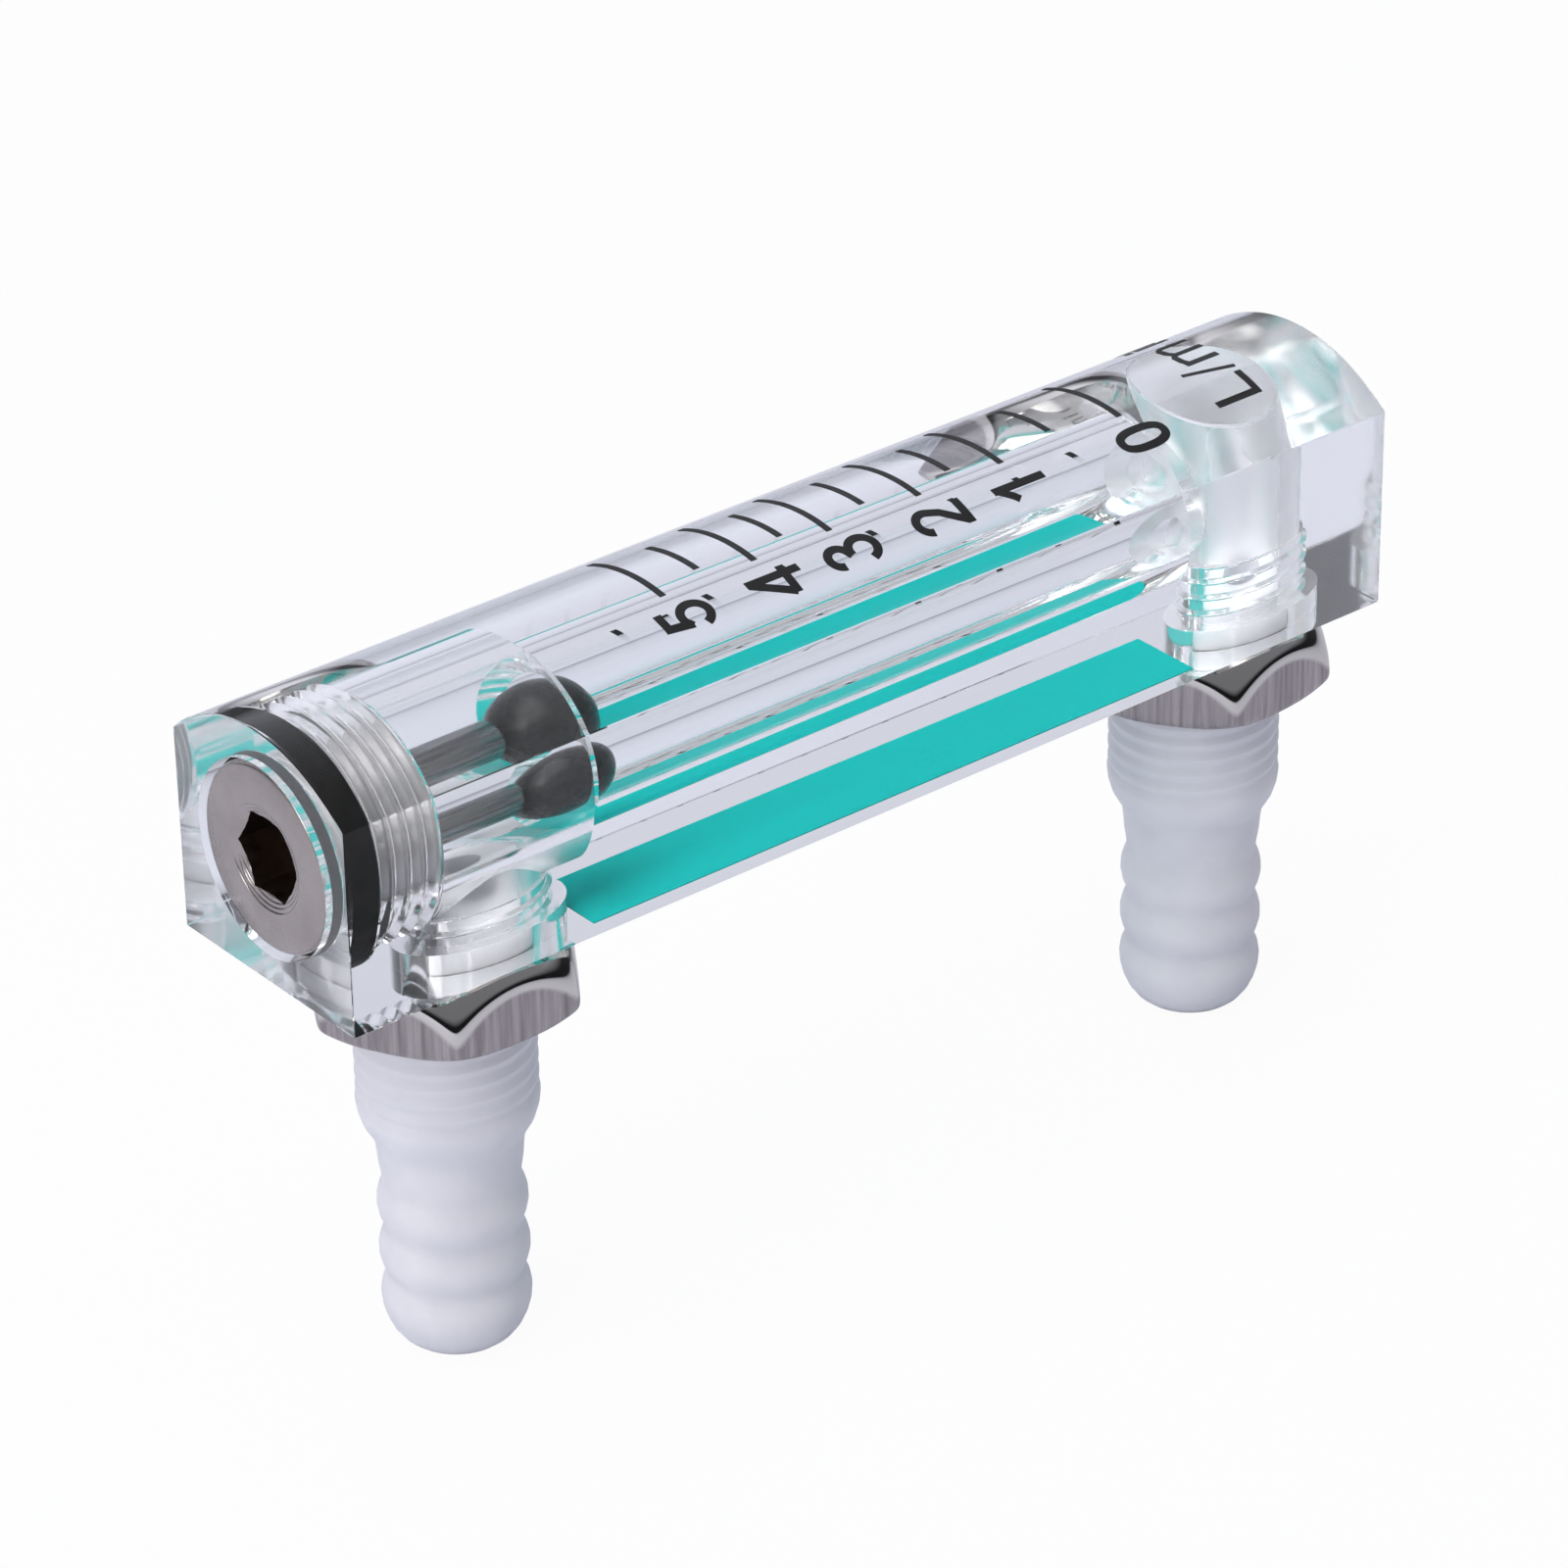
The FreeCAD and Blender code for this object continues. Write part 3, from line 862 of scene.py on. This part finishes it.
def make_nut(name, x, turn_deg, body, node):
    """Hexagon nut with softly rounded edges."""
    columns = 6 * NUT_SIDE_STEPS
    verts = []
    for index in range(columns):
        side, step = divmod(index, NUT_SIDE_STEPS)
        share = 0.5 - 0.5 * math.cos(math.pi * step / NUT_SIDE_STEPS)
        angle = math.radians(60 * (side + share) + turn_deg)
        flat = math.cos(math.radians(60 * share - 30)) / (NUT_AF / 2)
        corner = math.cos(math.radians(60 * share + (30 if share < 0.5 else -90))) / (NUT_AF / 2)
        section = nut_section(flat, corner)
        verts += [(x + radius * math.cos(angle), radius * math.sin(angle), z) for radius, z in section]
    depth = len(section)
    faces = []
    for index in range(columns):
        after = (index + 1) % columns
        for row in range(depth):
            following = (row + 1) % depth
            faces.append([index * depth + row, after * depth + row, after * depth + following,
                          index * depth + following])
    nut = new_object(name, verts, faces)
    put_back(opened(nut), nut)
    shade(nut, sharp_deg=40.0)
    finish_piece(nut, body, "plated_nut", [NUT_METAL], node)


make_stem("outlet_stem", OUTLET_X, "hose_barb_outlet")
make_stem("inlet_stem", INLET_X, "hose_barb_inlet")
make_nut("outlet_hex_nut", OUTLET_X, OUTLET_NUT_DEG, "outlet_nut", "lock_nut_outlet")
make_nut("inlet_hex_nut", INLET_X, INLET_NUT_DEG, "inlet_nut", "lock_nut_inlet")


# Painted band and printed scale

def make_band():
    """The painted band on the flat back."""
    outline = [(y, z) for z, ys in zip(STRIPE_Z, (STRIPE_Y, STRIPE_Y[::-1])) for y in ys]
    band = prism("teal_stripe", outline, STRIPE_X)
    bevel(band, STRIPE_EDGE)
    finish_piece(band, "meter_body", "teal_band", [TEAL], "back_stripe")


def on_arch(x, degrees, lift):
    """A point over the round front, its angle counted from the crown to +Y."""
    angle = math.radians(degrees)
    radius = ARCH_R + lift
    return (x, radius * math.sin(angle), ARCH_Z + radius * math.cos(angle))


def add_tick(x, span, verts, faces):
    """Adds one printed line to a list of corners and faces."""
    first = len(verts)
    half = TICK_WIDTH / 2
    corners = ((-half, -PRINT_IN), (half, -PRINT_IN), (half, PRINT_OUT), (-half, PRINT_OUT))
    for step in range(TICK_STEPS + 1):
        degrees = span[0] + (span[1] - span[0]) * step / TICK_STEPS
        verts += [on_arch(x + aside, degrees, lift) for aside, lift in corners]
    for step in range(TICK_STEPS):
        base = first + 4 * step
        for side in range(4):
            after = (side + 1) % 4
            faces.append([base + side, base + after, base + 4 + after, base + 4 + side])
    last = first + 4 * TICK_STEPS
    faces.append([first, first + 3, first + 2, first + 1])
    faces.append([last, last + 1, last + 2, last + 3])


def make_scale_lines():
    """A long line at each number and a short one halfway between."""
    verts = []
    faces = []
    for spot in TICK_PLACES:
        add_tick(ZERO_X - spot, LONG_TICK, verts, faces)
    for near, far in zip(TICK_PLACES, TICK_PLACES[1:]):
        add_tick(ZERO_X - (near + far) / 2, SHORT_TICK, verts, faces)
    lines = clean(new_object("scale_lines", verts, faces))
    shade(lines)
    finish_piece(lines, "meter_body", "black_print", [INK], "scale_marks")


make_band()
make_scale_lines()


# Figures: strokes in millimetres to the right of and above the figure's middle

def bow(cx, cy, rx, ry, start_deg, end_deg, steps=24):
    """Points on part of an ellipse."""
    points = []
    for step in range(steps + 1):
        angle = math.radians(start_deg + (end_deg - start_deg) * step / steps)
        points.append((cx + rx * math.cos(angle), cy + ry * math.sin(angle)))
    return points


def oval(cx, cy, rx, ry, power, steps=64):
    """A closed oval, squarer than an ellipse."""
    points = []
    for step in range(steps + 1):
        across, up = rounded_square(2 * math.pi * (step % steps) / steps, power)
        points.append((cx + rx * across, cy + ry * up))
    return points


FIGURES = {
    "0": [oval(0.05, -0.16, 0.69, 1.52, 2.5)],
    "1": [[(0.24, 1.66), (0.22, -1.94)], [(0.26, 1.42), (-0.09, 1.05), (-0.42, 0.72), (-0.76, 0.46)]],
    "2": [[(0.88, -1.48), (-0.98, -1.44)],
          [(-0.8, -1.42), (-0.37, -0.88), (0.38, -0.06)] + bow(-0.01, 0.94, 0.73, 0.76, -26, 172)],
    "3": [bow(0.0, 1.0, 0.67, 0.67, 178, -75) + [(-0.16, 0.22)], bow(0.05, -0.66, 0.81, 0.85, 100, -166)],
    "4": [[(0.5, 1.76), (0.49, -1.79)], [(0.44, 1.6), (-0.92, -0.72)], [(-1.0, -0.75), (1.03, -0.84)]],
    "5": [[(0.87, 1.34), (-0.4, 1.31)], [(-0.23, 1.56), (-0.45, -0.2)],
          [(-0.55, -0.12)] + bow(0.09, -0.7, 0.79, 0.88, 118, -160, 28)],
}

UNIT = {
    "unit_l": (0.45, [[(0.02, 1.28), (0.03, -1.95)], [(-0.15, -1.75), (1.87, -1.82)]]),
    "unit_slash": (0.26, [[(2.35, -2.11), (3.11, 1.23)]]),
    "unit_m": (0.42, [[(3.97, -2.25), (3.96, 0.12)],
                      [(3.96, -0.15), (4.5, -0.02), (5.1, -0.08), (5.46, -0.35), (5.46, -2.41)],
                      [(5.46, -0.42), (6.0, -0.24), (6.7, -0.32), (7.1, -0.65), (7.08, -2.63)]]),
    "unit_i": (0.42, [[(9.0, -2.8), (9.0, -0.5)], [(9.0, -0.15), (9.0, 0.25)]]),
    "unit_n": (0.42, [[(10.4, -2.9), (10.4, -0.5)],
                      [(10.4, -0.85), (11.0, -0.65), (11.6, -0.75), (11.95, -1.1), (11.95, -3.0)]]),
}


def stroke_mesh(points, width, closed):
    """A flat strip along a line of points, one unit thick."""
    count = len(points)
    left = []
    right = []
    for index, (px, py) in enumerate(points):
        if closed:
            before, after = points[index - 1], points[(index + 1) % count]
        else:
            before, after = points[max(index - 1, 0)], points[min(index + 1, count - 1)]
        dx, dy = after[0] - before[0], after[1] - before[1]
        size = math.hypot(dx, dy)
        nx, ny = -dy / size * width / 2, dx / size * width / 2
        left.append((px + nx, py + ny))
        right.append((px - nx, py - ny))
    verts = [(a, b, z) for z in (0, 1) for a, b in left + right]
    layer = 2 * count
    faces = []
    for index in range(count if closed else count - 1):
        after = (index + 1) % count
        a, b, c, d = index, after, count + after, count + index
        faces += [[a, b, c, d], [layer + d, layer + c, layer + b, layer + a]]
        faces += [[b, a, layer + a, layer + b], [d, c, layer + c, layer + d]]
    if not closed:
        last = count - 1
        faces += [[0, count, layer + count, layer], [last, layer + last, layer + count + last, count + last]]
    return clean(new_object("stroke", verts, faces))


def flat_figure(strokes, width):
    """Strokes joined into one flat solid."""
    whole = None
    for points in strokes:
        closed = points[0] == points[-1]
        strip = stroke_mesh(points[:-1] if closed else points, width, closed)
        if whole is None:
            whole = strip
        else:
            boolean(whole, strip, "UNION")
    return whole


def print_figure(name, strokes, x, degrees, width):
    """Bends a figure onto the round front, its top to -X and its right to +Y."""
    piece = flat_figure(strokes, width)
    bm = opened(piece)
    for index in range(BEND_CUTS):
        cut = (BEND_START + BEND_STEP * index) * MM
        geometry = bm.verts[:] + bm.edges[:] + bm.faces[:]
        bmesh.ops.bisect_plane(bm, geom=geometry, plane_co=(cut, 0, 0), plane_no=(1, 0, 0), dist=1e-9)
    for vert in bm.verts:
        right, up, layer = vert.co / MM
        lift = PRINT_OUT if layer > 0.5 else -PRINT_IN
        vert.co = Vector(on_arch(x - up, degrees + math.degrees(right / ARCH_R), lift)) * MM
    put_back(bm, piece)
    piece.name = name
    shade(piece)
    finish_piece(piece, "meter_body", "black_print", [INK])


for text, spot in DIGIT_PLACES:
    print_figure("figure_" + text, FIGURES[text], spot, DIGIT_DEG, DIGIT_STROKE)
for name, (width, strokes) in UNIT.items():
    print_figure(name, strokes, UNIT_X, UNIT_DEG, width)


# Floor, room, lamps and camera

def pale_floor():
    """A pale floor that the camera sees almost white, with a faint shadow."""
    corners = [(x * FLOOR_HALF, y * FLOOR_HALF, FLOOR_Z) for x, y in ((-1, -1), (1, -1), (1, 1), (-1, 1))]
    floor = new_object("floor", corners, [[0, 1, 2, 3]])
    n = Surface("floor")
    n.set(Base_Color=n.mottle(n.noise(40), (0.74, 0.745, 0.82), (0.76, 0.765, 0.84)), Roughness=0.7)
    n.set(Specular_IOR_Level=0.2)
    seen = n.math("MULTIPLY", n.add("ShaderNodeLightPath").outputs["Is Camera Ray"], FLOOR_WHITE)
    n.overlay(seen, "ShaderNodeEmission", "Emission")
    floor.data.materials.append(n.material)


def studio_world():
    """A dim room with a pale wall behind the right end.

    Rays that have gone through the block also see a window, and what the outer surfaces mirror is dark
    below a skyline and bright above it.
    """
    world = bpy.data.worlds.new("studio")
    bpy.context.scene.world = world
    world.use_nodes = True
    n = Graph(world.node_tree, "Generated")
    path = n.add("ShaderNodeLightPath").outputs
    levels = [(position, [level * tint for tint in WALL_TINT]) for position, level in WALL_LEVELS]
    room = n.stops(n.math("MULTIPLY_ADD", n.toward(WALL_TOWARD), 0.5, 0.5), levels)
    window = n.spread(n.toward(WINDOW_TOWARD), 0.0, WINDOW_LEVEL, *WINDOW_EDGE)
    window_share = n.math("MULTIPLY", window, path["Is Transmission Ray"])
    skyline = n.spread(n.upward(n.place), *SKYLINE_LEVELS, *SKYLINE_EDGE)
    mirrored = n.math("SUBTRACT", path["Is Glossy Ray"], path["Is Transmission Ray"], clamp=True)
    lit_room = n.vector_math("SCALE", {"Vector": room, "Scale": n.mix(mirrored, 1.0, skyline)})
    total = n.vector_math("ADD", {0: lit_room, 1: window_share})
    n.fill(n.tree.nodes["Background"], {"Color": total})


def softbox(name, spot, side, power):
    """A square area lamp at a spot, aimed at the origin."""
    lamp = bpy.data.lights.new(name, "AREA")
    lamp.size = side * MM
    lamp.energy = power
    item = bpy.data.objects.new(name, lamp)
    item.location = Vector(spot) * MM
    item.rotation_euler = (-Vector(spot)).normalized().to_track_quat("-Z", "Y").to_euler()
    bpy.context.scene.collection.objects.link(item)


def aim_camera():
    """The camera at its eye point, looking ahead."""
    data = bpy.data.cameras.new("camera")
    data.sensor_width = SENSOR
    data.lens = FOCAL_PIXELS * SENSOR / PICTURE_PIXELS
    data.clip_start = 0.01
    data.clip_end = 20.0
    camera = bpy.data.objects.new("camera", data)
    turn = Matrix((RIGHT, UP, [-value for value in AHEAD])).transposed().to_4x4()
    camera.matrix_world = Matrix.Translation(Vector(EYE) * MM) @ turn
    bpy.context.scene.collection.objects.link(camera)
    bpy.context.scene.camera = camera


pale_floor()
studio_world()
softbox("overhead", (-250, -50, 800), side=900, power=6.0)
softbox("key", (-600, -150, 350), side=300, power=1.5)
aim_camera()

scene = bpy.context.scene
scene.view_settings.view_transform = "Standard"
scene.cycles.max_bounces = 24
scene.cycles.glossy_bounces = 16
scene.cycles.transmission_bounces = 24
